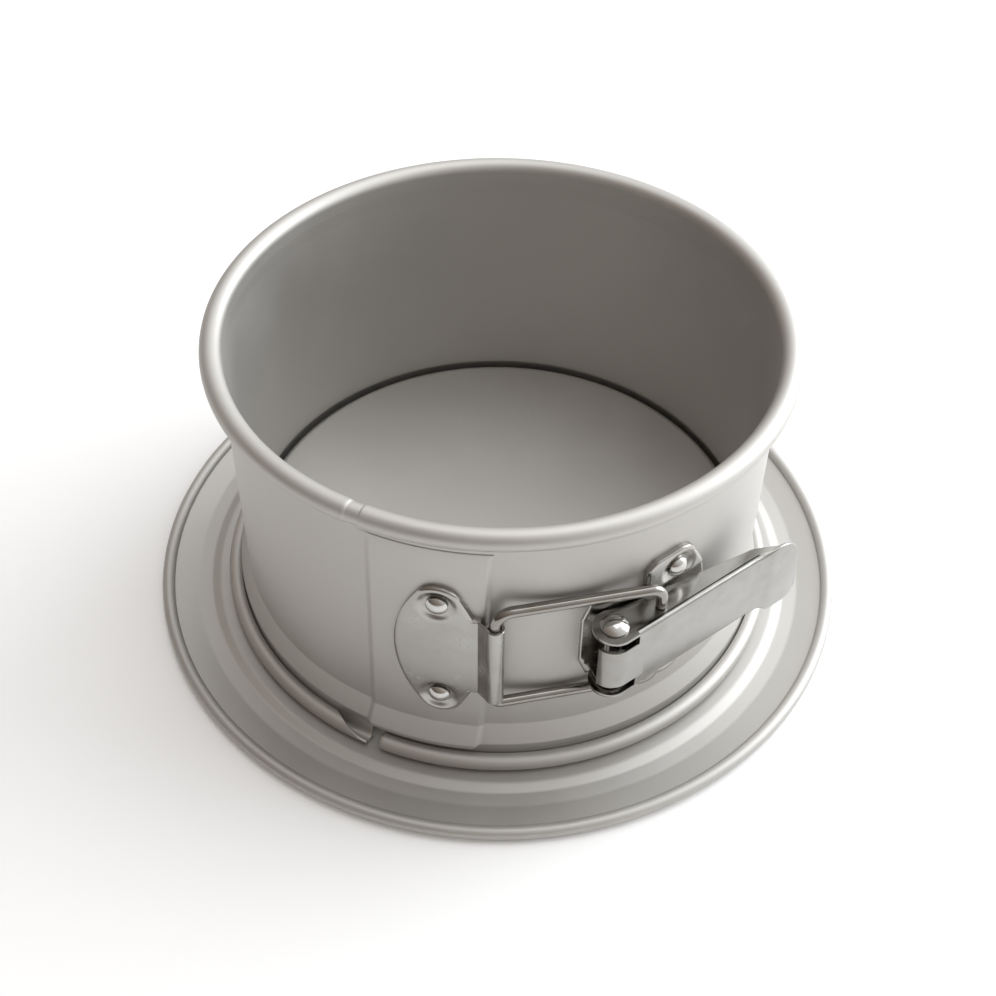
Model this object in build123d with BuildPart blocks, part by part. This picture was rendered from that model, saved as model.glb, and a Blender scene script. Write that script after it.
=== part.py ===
from build123d import *
import os
from math import asin, atan2, cos, degrees, hypot, radians, sin

# A small springform cake pan, in millimetres: a base with a raised floor and a dished
# flange, a rolled sheet band with a bead along each edge, and a toggle latch that pulls
# the band closed. The origin is the centre of the underside, +Z is up, the latch faces
# -Y, and an azimuth is measured in degrees, anticlockwise from +X.

os.makedirs("parts", exist_ok=True)

# Band: one strip of sheet, in two halves that meet at the back.
inner_radius = 76.2
band_sheet = 0.8
wall_line = inner_radius + band_sheet / 2
low_crease_z = 15.7
fold_point = (79.2, 9.7)
low_bead_centre = (81.6, 4.5)
low_bead_line = 2.0
high_crease_z = 84.4
lean_line = wall_line - 0.26
high_bead_centre = (lean_line + 2.56, 91.83)
high_bead_line = 2.56
back_azimuth = 90.0
back_gap = 0.1

# Front overlap: the left end of the strip steps out into a tab over the right end.
tab_clearance = 0.3
tab_shift = band_sheet + tab_clearance
joggle_azimuth = -115.4
joggle_arc = 1.2
right_end_azimuth = -114.6
tab_end_azimuth = -91.6
tab_low_z = 8.5
tab_high_z = 84.2
low_bead_right_end = -113.4
low_bead_top_z = low_bead_centre[1] + low_bead_line + band_sheet

# Base: one sheet with a raised floor, a seat for the band and a dished flange.
base_sheet = 1.0
floor_z = 14.75
step_radius = 75.7
seat_z = 2.0
seat_radius = 87.6
dish_radius = 89.0
dish_flat_radius = 94.0
edge_centre = (102.9, 2.5)
edge_line = 1.4

# Latch, seen from above: the bail's hinge, the bail's free end and the lever's pivot.
latch_z = 49.0
rivet_offset = 18.0
hinge = (-0.4, -81.1)
bail_end = (41.7, -71.5)
pivot = (29.6, -78.4)
wire_radius = 1.5
running_clearance = 0.05

# Keeper and bracket: pressed plates with a dimple round each rivet.
plate_sheet = 0.8
keeper_azimuth = -101.0
keeper_z = latch_z - 0.9
keeper_seat = inner_radius + tab_shift + band_sheet + 0.02
keeper_crown = 79.8
bracket_azimuth = -54.0
bracket_z = latch_z - 0.9
column_z = {keeper_azimuth: keeper_z, bracket_azimuth: bracket_z}
bracket_seat = inner_radius + band_sheet + 0.03
bracket_neck = 77.75
bracket_crown = 78.8
lobe_low_edge = 12.6
dimple_rim_radius = 5.75
dimple_floor_radius = 4.25
rivet_shank_radius = 1.5
rivet_head_radius = 2.9
barrel_low_z = latch_z - 15.9
barrel_high_z = latch_z + 12.8
barrel_outer_radius = 2.5

# Lever: a channel that is open towards the pan, with a paddle at the tip.
lever_angle = 38.0
lever_sheet = 1.0
lever_half_height = 11.0
lever_round = 5.75
lever_length = 61.6
paddle_high = 11.4
paddle_low = 13.6
paddle_rise = 0.4
tongue_half_height = 7.0
notch_length = 3.6
pin_radius = 2.2
pin_head_radius = 3.7
pin_head_height = 2.3
ear_radius = 3.9
ear_outer_offset = 9.6
ear_sheet = 1.0

UP = Vector(0, 0, 1)
TALL = 400.0


def outward(azimuth):
    """Unit vector away from the pan's axis."""
    return Vector(cos(radians(azimuth)), sin(radians(azimuth)), 0)


def radial_plane(azimuth):
    """Plane through the pan's axis: local x is the radius and local y the height."""
    return Plane(origin=(0, 0, 0), x_dir=outward(azimuth), z_dir=outward(azimuth).cross(UP))


def facing_plane(azimuth, height):
    """Plane through the axis that faces outward: local x is anticlockwise, local y is up."""
    return Plane(origin=(0, 0, height), x_dir=UP.cross(outward(azimuth)), z_dir=outward(azimuth))


def dome_middle(radius, rim, height):
    """Point halfway along the arc of a dome that starts at its rim and ends on its axis."""
    ball = (radius**2 + height**2) / (2 * height)
    half_angle = asin(radius / ball) / 2
    return (ball * sin(half_angle), rim + height - ball + ball * cos(half_angle))


def curved_slab(sketch, inner, outer):
    """The prism of an outline, cut to the space between two cylinders about the axis."""
    with BuildPart() as slab:
        extrude(sketch, amount=inner_radius + 20)
        Cylinder(outer, TALL, mode=Mode.INTERSECT)
        Cylinder(inner, TALL, mode=Mode.SUBTRACT)
    return slab.part


# ---------------------------------------------------------------- base

def base_section():
    """Half section of the base sheet, from the axis to the rolled edge."""
    half = base_sheet / 2
    roll_start = 200
    edge_start = (
        edge_centre[0] + edge_line * cos(radians(roll_start)),
        edge_centre[1] + edge_line * sin(radians(roll_start)),
    )
    with BuildSketch(Plane.XZ) as section:
        with BuildLine():
            FilletPolyline(
                (-5, floor_z - half),
                (step_radius - half, floor_z - half),
                (step_radius - half, seat_z - half),
                (seat_radius, seat_z - half),
                (dish_radius, half),
                (dish_flat_radius, half),
                edge_start,
                radius=[2.0, 1.0, 0.7, 0.7, 6.0],
            )
            CenterArc(edge_centre, edge_line, roll_start, -300)
            offset(amount=half, side=Side.BOTH)
        make_face()
        Rectangle(20, TALL, align=(Align.MAX, Align.CENTER), mode=Mode.SUBTRACT)
    return section.sketch


with BuildPart() as base:
    revolve(base_section(), axis=Axis.Z)


# ---------------------------------------------------------------- band

def band_section(azimuth, shift=0.0):
    """Section of the strip from bead to bead, moved outward by shift."""
    with BuildSketch(radial_plane(azimuth)) as section:
        with BuildLine():
            FilletPolyline(
                (low_bead_centre[0] - low_bead_line + shift, low_bead_centre[1]),
                (fold_point[0] + shift, fold_point[1]),
                (wall_line + shift, low_crease_z),
                (wall_line + shift, high_crease_z),
                (lean_line + shift, high_crease_z + 4.2),
                (lean_line + shift, high_bead_centre[1]),
                radius=[0.45, 3, 3, 3],
            )
            CenterArc((high_bead_centre[0] + shift, high_bead_centre[1]), high_bead_line, 180, -308)
            CenterArc((low_bead_centre[0] + shift, low_bead_centre[1]), low_bead_line, 180, 310)
            offset(amount=band_sheet / 2, side=Side.BOTH)
        make_face()
    return section.sketch


def band_sector(start, end, low_z, high_z, shift=0.0):
    """The strip between two azimuths, cut to a range of height."""
    with BuildPart() as sector:
        revolve(band_section(start, shift), axis=Axis.Z, revolution_arc=end - start)
        with Locations((0, 0, low_z)):
            Cylinder(TALL, high_z - low_z, align=(Align.CENTER, Align.CENTER, Align.MIN), mode=Mode.INTERSECT)
    return sector.part


def rivet_holes(azimuth):
    """Outline of the two rivet holes, seen along their column's outward direction."""
    with BuildSketch(facing_plane(azimuth, column_z[azimuth])) as holes:
        with Locations((0, -rivet_offset), (0, rivet_offset)):
            Circle(rivet_shank_radius + running_clearance)
    return holes.sketch


half_gap_angle = degrees(back_gap / 2 / inner_radius)

with BuildPart() as band_right:
    add(band_sector(low_bead_right_end, back_azimuth - half_gap_angle, 0, TALL))
    add(band_sector(right_end_azimuth, low_bead_right_end, low_bead_top_z, TALL))
    extrude(rivet_holes(bracket_azimuth), amount=inner_radius + 20, mode=Mode.SUBTRACT)

with BuildPart() as band_left:
    add(band_sector(back_azimuth + half_gap_angle, joggle_azimuth + 360, 0, TALL))
    for step in (0, tab_shift / 2, tab_shift):
        add(band_sector(joggle_azimuth - joggle_arc, joggle_azimuth, tab_low_z, tab_high_z, step))
    add(band_sector(joggle_azimuth, tab_end_azimuth, tab_low_z, tab_high_z, tab_shift))
    extrude(rivet_holes(keeper_azimuth), amount=inner_radius + 20, mode=Mode.SUBTRACT)


# ---------------------------------------------------------------- rivets

def rivet_profile(azimuth, height, tail, under, crown):
    """Half section of a rivet whose axis points outward: radii are distances from the pan's axis."""
    plane = Plane(origin=(0, 0, height), x_dir=UP, z_dir=UP.cross(outward(azimuth)))
    with BuildSketch(plane) as profile:
        with BuildLine():
            Polyline(
                (0, crown),
                (0, tail),
                (rivet_shank_radius, tail),
                (rivet_shank_radius, under),
                (rivet_head_radius, under),
                (rivet_head_radius, under + 0.7),
            )
            middle = dome_middle(rivet_head_radius, under + 0.7, crown - under - 0.7)
            ThreePointArc((rivet_head_radius, under + 0.7), middle, (0, crown))
        make_face()
    return profile.sketch


def rivet(azimuth, height, tail, under):
    """One button-head rivet with its head outside."""
    axis = Axis((0, 0, height), outward(azimuth))
    with BuildPart() as solid:
        revolve(rivet_profile(azimuth, height, tail, under, under + 2.0), axis=axis)
    return solid.part


dimple_floor_keeper = keeper_seat + plate_sheet
dimple_floor_bracket = bracket_seat + plate_sheet
inner_head_radius = 2.6
inner_head_face = inner_radius - 0.07
inner_head_height = 0.5

with BuildPart() as keeper_rivets:
    for side in (-1, 1):
        tab_inner_face = inner_radius + tab_shift + 0.02
        add(rivet(keeper_azimuth, keeper_z + side * rivet_offset, tab_inner_face, dimple_floor_keeper + 0.02))

with BuildPart() as bracket_rivets:
    for side in (-1, 1):
        height = bracket_z + side * rivet_offset
        add(rivet(bracket_azimuth, height, inner_head_face, dimple_floor_bracket + 0.02))
        with BuildSketch(facing_plane(bracket_azimuth, height).offset(inner_head_face)):
            Circle(inner_head_radius)
        extrude(amount=-inner_head_height)


# ---------------------------------------------------------------- keeper

def keeper_outline(inset=0.0):
    """D-shaped plate with a lobe round each rivet and a neck towards the barrel."""
    with BuildSketch(facing_plane(keeper_azimuth, keeper_z)) as outline:
        with BuildLine():
            Polyline((6.3, 20.5), (9.4, 14.3), (11.1, 14.3), (11.1, -14.3), (9.4, -14.3), (6.3, -20.5))
            ThreePointArc((6.3, -20.5), (0.8, -24.8), (-5.5, -21.2))
            ThreePointArc((-5.5, -21.2), (-12.0, 0.0), (-5.5, 21.2))
            ThreePointArc((-5.5, 21.2), (0.8, 24.8), (6.3, 20.5))
        make_face()
        if inset:
            offset(amount=-inset, mode=Mode.REPLACE)
    return outline.sketch


def rivet_discs(azimuth, radius):
    """Two discs round the rivet column's centres."""
    with BuildSketch(facing_plane(azimuth, column_z[azimuth])) as discs:
        with Locations((0, -rivet_offset), (0, rivet_offset)):
            Circle(radius)
    return discs.sketch


def ramp_outline():
    """Section of the strip that climbs from the keeper's neck to the front of the barrel."""
    with BuildSketch(Plane.XY.offset(barrel_low_z)) as ramp:
        Polygon((-4.3, -79.65), (-2.5, -82.43), (-2.2, -80.9), (-4.3, -78.9), align=None)
        with Locations(hinge):
            Circle(barrel_outer_radius)
            Circle(wire_radius + running_clearance, mode=Mode.SUBTRACT)
    return ramp.sketch


with BuildPart() as keeper:
    add(curved_slab(keeper_outline(), keeper_seat, keeper_crown))
    add(curved_slab(keeper_outline(plate_sheet), keeper_seat, keeper_crown - plate_sheet), mode=Mode.SUBTRACT)
    add(curved_slab(rivet_discs(keeper_azimuth, dimple_rim_radius), keeper_seat, keeper_crown))
    add(curved_slab(rivet_discs(keeper_azimuth, dimple_floor_radius), dimple_floor_keeper, TALL / 4),
        mode=Mode.SUBTRACT)
    extrude(ramp_outline(), amount=barrel_high_z - barrel_low_z)
    extrude(rivet_holes(keeper_azimuth), amount=inner_radius + 20, mode=Mode.SUBTRACT)


# ---------------------------------------------------------------- bail

bail_reach = hypot(bail_end[0] - hinge[0], bail_end[1] - hinge[1])
bail_azimuth = degrees(atan2(bail_end[1] - hinge[1], bail_end[0] - hinge[0]))
bail_plane = Plane(
    origin=(hinge[0], hinge[1], latch_z),
    x_dir=outward(bail_azimuth),
    z_dir=outward(bail_azimuth).cross(UP),
)
bail_half_height = 18.0
bail_tip = lever_half_height + 0.3

with BuildPart() as bail:
    with BuildLine(bail_plane) as wire:
        FilletPolyline(
            (bail_reach, bail_tip),
            (bail_reach, bail_half_height),
            (0, bail_half_height),
            (0, -bail_half_height),
            (bail_reach, -bail_half_height),
            (bail_reach, -bail_tip),
            radius=[3.5, 4.5, 2.0, 3.5],
        )
    with BuildSketch(Plane(origin=wire.line @ 0, z_dir=wire.line % 0)):
        Circle(wire_radius)
    sweep()


# ---------------------------------------------------------------- bracket

def bracket_outline():
    """Plate with a rounded end, a lobe round each rivet and a square-shouldered neck."""
    with BuildSketch(facing_plane(bracket_azimuth, bracket_z)) as outline:
        with BuildLine():
            FilletPolyline((-10, 13.0), (-10, 20.7), (-7.5, 23.7), (0, 25.0), radius=[3, 3])
            Line((-10, 13.0), (-10, -13.0))
            FilletPolyline((-10, -13.0), (-10, -20.7), (-7.5, -23.7), (0, -25.0), radius=[3, 3])
            ThreePointArc((0, 25.0), (3.6, 24.0), (5.5, 21.2))
            ThreePointArc((5.5, 21.2), (12.0, 0.0), (5.5, -21.2))
            ThreePointArc((5.5, -21.2), (3.6, -24.0), (0, -25.0))
        make_face()
    return outline


def bracket_lobes(inset=0.0):
    """The raised parts of the plate, above and below the lever."""
    with BuildSketch(facing_plane(bracket_azimuth, bracket_z)) as lobes:
        add(bracket_outline().sketch_local)
        with Locations((0, latch_z - bracket_z)):
            Rectangle(TALL, 2 * lobe_low_edge, mode=Mode.SUBTRACT)
        if inset:
            offset(amount=-inset, mode=Mode.REPLACE)
    return lobes.sketch


def neck_outline():
    """Flat neck that carries the ears, with two bevelled corners at its end."""
    with BuildSketch(facing_plane(bracket_azimuth, latch_z)) as outline:
        with BuildLine():
            Polyline((-8, 14), (-24.3, 14), (-26.3, 8.2), (-26.3, -8.2), (-24.3, -14), (-8, -14), close=True)
        make_face()
    return outline.sketch


ear_azimuth = degrees(atan2(pivot[1], pivot[0]))
ear_plane = Plane(
    origin=(pivot[0], pivot[1], latch_z),
    x_dir=UP.cross(outward(ear_azimuth)),
    z_dir=(0, 0, 1),
)
ear_root = hypot(*pivot) - bracket_neck + 0.35


def ear_outline(height):
    """Ear in a level plane: a round end about the pivot and straight sides to the plate."""
    with BuildSketch(ear_plane.offset(height)) as ear:
        Circle(ear_radius)
        Rectangle(2.1 * ear_radius, ear_root, align=(Align.CENTER, Align.MIN))
        Circle(pin_radius + running_clearance, mode=Mode.SUBTRACT)
    return ear.sketch


with BuildPart() as bracket:
    add(curved_slab(bracket_outline().sketch, bracket_seat, bracket_neck))
    add(curved_slab(bracket_lobes(), bracket_seat, bracket_crown))
    add(curved_slab(bracket_lobes(plate_sheet), bracket_seat, bracket_crown - plate_sheet), mode=Mode.SUBTRACT)
    add(curved_slab(rivet_discs(bracket_azimuth, dimple_rim_radius), bracket_seat, bracket_crown))
    add(curved_slab(rivet_discs(bracket_azimuth, dimple_floor_radius), dimple_floor_bracket, TALL / 4),
        mode=Mode.SUBTRACT)
    add(curved_slab(neck_outline(), bracket_seat, bracket_neck))
    for low in (-ear_outer_offset, ear_outer_offset - ear_sheet):
        extrude(ear_outline(low), amount=ear_sheet)
    extrude(rivet_holes(bracket_azimuth), amount=inner_radius + 20, mode=Mode.SUBTRACT)


# ---------------------------------------------------------------- pivot rivet

with BuildPart() as pivot_rivet:
    head_face = lever_half_height + 0.1
    with BuildSketch(Plane(origin=(*pivot, latch_z), x_dir=(1, 0, 0), z_dir=(0, -1, 0))):
        with BuildLine():
            high_rim = head_face + 0.3
            high_top = head_face + pin_head_height
            across, up = dome_middle(pin_head_radius, high_rim, high_top - high_rim)
            ThreePointArc((0, high_top), (across, up), (pin_head_radius, high_rim))
            Polyline(
                (pin_head_radius, high_rim),
                (pin_head_radius, head_face),
                (pin_radius, head_face),
                (pin_radius, -head_face),
                (pin_head_radius, -head_face),
                (pin_head_radius, -high_rim),
            )
            ThreePointArc((pin_head_radius, -high_rim), (across, -up), (0, -high_top))
            Line((0, -high_top), (0, high_top))
        make_face()
    revolve(axis=Axis((*pivot, 0), (0, 0, 1)))


# ---------------------------------------------------------------- lever

lever_dir = outward(lever_angle)


def lever_plane(height):
    """Level plane through the pivot: local x runs to the tip, local y away from the pan."""
    return Plane(origin=(*pivot, latch_z + height), x_dir=lever_dir, z_dir=(0, 0, -1))


web_line = lever_round - lever_sheet / 2
paddle_line = web_line + paddle_rise
paddle_bend_start = 44.0
paddle_bend_end = 51.0
flange_slope = 0.1368
flange_back_at_16 = -2.46
flange_straight_end = 45.9
flange_tip = 54.0


def flange_back(x):
    """Back edge of the flanges, which stays clear of the band."""
    return flange_back_at_16 + flange_slope * (x - 16)


def web_section(end):
    """Section of the web and paddle in a level plane."""
    with BuildSketch(lever_plane(0)) as section:
        with BuildLine():
            FilletPolyline(
                (notch_length, web_line),
                (paddle_bend_start, web_line),
                (paddle_bend_end, paddle_line),
                (end, paddle_line),
                radius=6,
            )
            offset(amount=lever_sheet / 2, side=Side.BOTH)
        make_face()
    return section.sketch


def tongue_section():
    """The tongue runs on from the web and wraps round the pivot."""
    with BuildSketch(lever_plane(0)) as section:
        with BuildLine():
            Line((notch_length + 1, web_line), (0, web_line))
            CenterArc((0, 0), web_line, 90, 81)
            offset(amount=lever_sheet / 2, side=Side.BOTH)
        make_face()
    return section.sketch


def flange_outline(height):
    """One flange: round about the pivot, tapering to the start of the paddle."""
    straight_end = (flange_straight_end, flange_back(flange_straight_end))
    low_x = 4.034
    low_point = (low_x, flange_back(low_x))
    tip = (flange_tip, paddle_line)
    with BuildSketch(lever_plane(height)) as outline:
        with BuildLine():
            Polyline((0, lever_round), (paddle_bend_start, lever_round), (paddle_bend_end, paddle_line), tip)
            RadiusArc(tip, straight_end, 30)
            Line(straight_end, low_point)
            ThreePointArc(low_point, (-lever_round, 0), (0, lever_round))
        make_face()
        Circle(pin_radius + running_clearance, mode=Mode.SUBTRACT)
        with Locations(bail_hole):
            Circle(wire_radius + 0.15, mode=Mode.SUBTRACT)
    return outline.sketch


def paddle_blank():
    """Front view of the whole web: the paddle is deeper on its low side, with rounded corners."""
    front = Plane(origin=(*pivot, latch_z), x_dir=lever_dir, z_dir=UP.cross(lever_dir) * -1)
    with BuildSketch(front) as blank:
        with BuildLine():
            FilletPolyline(
                (0, lever_half_height),
                (paddle_bend_end - 2, lever_half_height),
                (paddle_bend_end, paddle_high),
                (lever_length - 0.9, paddle_high),
                (lever_length, -paddle_low),
                (paddle_bend_end + 2, -paddle_low),
                (paddle_bend_end - 4, -lever_half_height),
                (0, -lever_half_height),
                radius=[0.5, 0.5, 9.0, 4.5, 3, 3],
            )
            Line((0, -lever_half_height), (0, lever_half_height))
        make_face()
    return blank.sketch


to_bail_end = Vector(bail_end[0] - pivot[0], bail_end[1] - pivot[1], 0)
bail_hole = (to_bail_end.dot(lever_dir), to_bail_end.dot(lever_plane(0).y_dir))

with BuildPart() as lever:
    extrude(web_section(lever_length + 1), amount=TALL / 8, both=True)
    extrude(paddle_blank(), amount=20, mode=Mode.INTERSECT)
    extrude(tongue_section(), amount=tongue_half_height, both=True)
    for high in (lever_half_height, lever_sheet - lever_half_height):
        extrude(flange_outline(high), amount=lever_sheet)


pieces = {
    "base": base,
    "band_right": band_right,
    "band_left": band_left,
    "keeper": keeper,
    "keeper_rivets": keeper_rivets,
    "bail": bail,
    "lever": lever,
    "pivot_rivet": pivot_rivet,
    "bracket": bracket,
    "bracket_rivets": bracket_rivets,
}
for name, piece in pieces.items():
    piece.part.label = name
    export_step(piece.part, f"parts/{name}.step")
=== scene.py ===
from math import asin, atan2, cos, degrees, hypot, pi, radians, sin, sqrt

import bmesh
import bpy
import numpy as np
from mathutils import Matrix, Vector


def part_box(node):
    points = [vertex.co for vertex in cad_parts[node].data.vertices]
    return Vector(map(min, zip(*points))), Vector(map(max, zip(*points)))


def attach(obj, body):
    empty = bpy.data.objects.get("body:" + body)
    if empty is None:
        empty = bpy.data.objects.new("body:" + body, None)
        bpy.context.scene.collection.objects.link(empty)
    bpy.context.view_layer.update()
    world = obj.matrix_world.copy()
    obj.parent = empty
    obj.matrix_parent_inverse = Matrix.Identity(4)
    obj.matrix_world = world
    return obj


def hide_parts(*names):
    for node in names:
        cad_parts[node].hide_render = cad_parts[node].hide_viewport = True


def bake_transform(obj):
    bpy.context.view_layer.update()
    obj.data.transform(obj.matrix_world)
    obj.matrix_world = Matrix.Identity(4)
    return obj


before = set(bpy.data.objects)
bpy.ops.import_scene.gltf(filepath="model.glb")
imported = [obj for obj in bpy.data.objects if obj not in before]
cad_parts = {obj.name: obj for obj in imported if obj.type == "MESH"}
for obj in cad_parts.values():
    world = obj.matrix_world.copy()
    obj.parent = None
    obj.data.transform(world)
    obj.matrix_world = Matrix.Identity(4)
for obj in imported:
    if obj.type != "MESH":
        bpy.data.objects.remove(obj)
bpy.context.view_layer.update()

# Lengths below are millimetres in the frame's own axes, and MM turns them into metres.
# Angles are degrees, and an azimuth runs anticlockwise from +X. A point of a section is
# (distance from the pan's axis, height).
MM = 0.001

# ------------------------------------------------------------------ driving dimensions

FLANGE_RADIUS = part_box("base")[1].x / MM
PAN_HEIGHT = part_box("band_right")[1].z / MM
FLOOR_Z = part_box("base")[1].z / MM

# Base: the middle of its sheet at the step wall, the seat, the dish and the rolled edge.
BASE_SHEET = 1.0
STEP_RADIUS = 75.2
SEAT_Z = 1.5
SHOULDER_RADIUS = 86.9
DISH_RADIUS = 89.6
DISH_Z = 0.5
ROLL_FOOT_RADIUS = 94.0
ROLL_LINE = 1.4
ROLL_CENTRE = (FLANGE_RADIUS - ROLL_LINE - BASE_SHEET / 2, 2.5)

# Band: the inside of its wall, and the middle of its sheet at the creases and the beads.
WALL_RADIUS = 76.2
SHEET = 0.8
WALL_LINE = WALL_RADIUS + SHEET / 2
LOW_CREASE_Z = 15.7
FOLD = (79.4, 9.9)
GROOVE = (78.95, 6.9)
LOW_BEAD = (81.6, 4.5)
LOW_BEAD_LINE = 2.0
HIGH_CREASE_Z = 84.4
LEAN_RISE = 4.2
LEAN_LINE = WALL_LINE - 0.26
HIGH_BEAD_LINE = 2.56
HIGH_BEAD = (LEAN_LINE + HIGH_BEAD_LINE, PAN_HEIGHT - HIGH_BEAD_LINE - SHEET / 2)

# Overlap at the front: the tab, its joggle and thinned edge, and where each bead ends.
TAB_SHIFT = 1.1
TAB_LOW_Z = 8.5
TAB_HIGH_Z = 84.2
TAB_SWAGE = 1.6
SWAGE_THINNING = 0.6
SWAGE_DEPTH = 0.62
JOGGLE_LEAN = 1.5
JOGGLE_START = -116.9
JOGGLE_END = -115.2
SEAM = -114.5
LOW_BEAD_CUT_START = -124.0
LOW_BEAD_CUT_END = -115.6
LOW_BEAD_RIGHT_START = -113.4
PLUG_ARC = 2.8
PLUG_TUCK = 0.11
BACK_PIECE = 30.0
ENTRY_LOW_Z = 7.4
STUB_HIGH_Z = 8.3

# Length of one degree of arc on the low bead, the high bead and the tab.
LOW_BEAD_DEGREE = 1.42
HIGH_BEAD_DEGREE = 1.38
TAB_DEGREE = 1.36

# Latch: the pins' places as seen from above, then the keeper and the bracket.
LATCH_Z = 49.0
RIVET_OFFSET = 18.0
HINGE = (-0.4, -81.1)
BAIL_END = (41.7, -71.5)
PIVOT = (29.6, -78.4)
WIRE = 1.5
BAIL_HALF = 18.0
KEEPER_AZIMUTH = -101.0
KEEPER_DROP = 0.9
KEEPER_HALF = 24.8
NECK_HALF = 14.3
BARREL_LOW = -15.9
BARREL_HIGH = 12.8
BRACKET_AZIMUTH = -54.0
BRACKET_DROP = 0.9
BRACKET_HALF = 25.0
BRACKET_NECK_HALF = 14.0
EAR_HALF = 9.6
EAR_SHEET = 1.0
EAR_RADIUS = 3.9
PIN_SHANK = 2.2
PIN_HEAD = 3.7
KEEPER_SEAT = 78.13
KEEPER_CROWN = 79.8
KEEPER_RIVET_TAIL = 77.33
BRACKET_SEAT = 77.03
BRACKET_NECK = 77.75
BRACKET_CROWN = 78.8
BRACKET_RIVET_TAIL = 76.1

# Lever: its lean from +X, its rounded end about the pivot, its channel and its paddle.
LEVER_ANGLE = 38.0
LEVER_ROUND = 5.75
LEVER_HALF = 11.0
LEVER_FOLD = 1.3
LEVER_LENGTH = 61.6
PADDLE_HIGH = 11.4
PADDLE_LOW = 13.6


# ------------------------------------------------------------------ mesh helpers

SHARP_ANGLE = radians(38)
WELD_DISTANCE = 0.002

class Shell:
    """Collects grids of points into one mesh."""

    def __init__(self):
        self.points = []
        self.faces = []

    def grid(self, rows, capped=True):
        """Skins a list of rows of points, each one a closed loop, and may close the two ends."""
        rows = np.asarray(rows, float)
        count, width = rows.shape[:2]
        first = len(self.points)
        self.points.extend(map(tuple, rows.reshape(-1, 3)))
        for i in range(count - 1):
            for j in range(width):
                k = (j + 1) % width
                a = first + i * width
                b = a + width
                self.faces.append((a + j, a + k, b + k, b + j))
        if capped:
            end = first + (count - 1) * width
            self.faces.append(tuple(range(first, first + width)))
            self.faces.append(tuple(range(end + width - 1, end - 1, -1)))

    def make(self, name, body, nodes, material):
        """Turns the collected faces into a smooth-shaded object that rides on a body, if one is given."""
        mesh = bpy.data.meshes.new(name)
        mesh.from_pydata([tuple(c * MM for c in p) for p in self.points], [], self.faces)
        tidy = bmesh.new()
        tidy.from_mesh(mesh)
        bmesh.ops.remove_doubles(tidy, verts=tidy.verts, dist=WELD_DISTANCE * MM)
        bmesh.ops.dissolve_degenerate(tidy, edges=tidy.edges, dist=WELD_DISTANCE / 4 * MM)
        bmesh.ops.recalc_face_normals(tidy, faces=tidy.faces)
        tidy.to_mesh(mesh)
        tidy.free()
        mesh.shade_smooth()
        mesh.set_sharp_from_angle(angle=SHARP_ANGLE)
        obj = bpy.data.objects.new(name, mesh)
        bpy.context.scene.collection.objects.link(obj)
        mesh.materials.append(material)
        if body:
            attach(obj, body)
        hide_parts(*nodes)
        return obj


def arc(centre, radius, start, end, count):
    """Points on an arc, angles in degrees, both ends included."""
    return [
        (centre[0] + radius * cos(radians(a)), centre[1] + radius * sin(radians(a)))
        for a in np.linspace(start, end, count)
    ]


def filleted(corners, radii, count=7):
    """A path through corners, with each inner corner rounded to its radius."""
    path = [tuple(corners[0])]
    for i in range(1, len(corners) - 1):
        here = np.array(corners[i], float)
        back = np.array(corners[i - 1], float) - here
        ahead = np.array(corners[i + 1], float) - here
        back /= np.linalg.norm(back)
        ahead /= np.linalg.norm(ahead)
        half = np.arccos(np.clip(back @ ahead, -1, 1)) / 2
        radius = radii[i - 1]
        reach = radius / np.tan(half)
        bisector = (back + ahead) / np.linalg.norm(back + ahead)
        middle = here + bisector * radius / np.sin(half)
        start = here + back * reach - middle
        end = here + ahead * reach - middle
        sweep = pi - 2 * half
        for t in np.linspace(0, 1, count):
            mix = (np.sin((1 - t) * sweep) * start + np.sin(t * sweep) * end) / np.sin(sweep)
            path.append(tuple(middle + mix))
    path.append(tuple(corners[-1]))
    return path


def densified(path, longest, guard):
    """The same path with long runs divided, and a guard point near each end of them."""
    dense = [path[0]]
    for a, b in zip(path, path[1:]):
        a = np.array(a, float)
        b = np.array(b, float)
        length = np.linalg.norm(b - a)
        if length > 4 * guard:
            count = max(1, int(np.ceil((length - 2 * guard) / longest)))
            stops = np.linspace(guard, length - guard, count + 1)
            dense.extend(tuple(a + (b - a) * s / length) for s in stops)
        dense.append(tuple(b))
    return dense


def normals_of(path):
    """Unit normals to the left of a path."""
    path = np.asarray(path, float)
    run = np.empty_like(path)
    run[0] = path[1] - path[0]
    run[-1] = path[-1] - path[-2]
    forward = path[1:-1] - path[:-2]
    onward = path[2:] - path[1:-1]
    forward = forward / np.maximum(np.linalg.norm(forward, axis=1, keepdims=True), 1e-9)
    onward = onward / np.maximum(np.linalg.norm(onward, axis=1, keepdims=True), 1e-9)
    run[1:-1] = forward + onward
    run /= np.maximum(np.linalg.norm(run, axis=1, keepdims=True), 1e-9)
    return np.stack([-run[:, 1], run[:, 0]], 1)


def sheet_loop(path, half):
    """Closed outline of a sheet whose middle follows a path, with softened edges."""
    path = np.asarray(path, float)
    side = normals_of(path)
    start_run = np.array([side[0][1], -side[0][0]])
    end_run = np.array([side[-1][1], -side[-1][0]])
    soft = 0.35 * half
    thin = 0.55 * half
    left = path + side * half
    right = path - side * half
    last = path[-1] + end_run * soft
    first = path[0] - start_run * soft
    ends_a = [last + side[-1] * thin, last - side[-1] * thin]
    ends_b = [first - side[0] * thin, first + side[0] * thin]
    return np.concatenate([left, ends_a, right[::-1], ends_b])


def turned(loop, azimuth):
    """A loop of (radius, height) placed at an azimuth."""
    loop = np.asarray(loop, float)
    c, s = cos(radians(azimuth)), sin(radians(azimuth))
    return np.stack([loop[:, 0] * c, loop[:, 0] * s, loop[:, 1]], 1)


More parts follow.
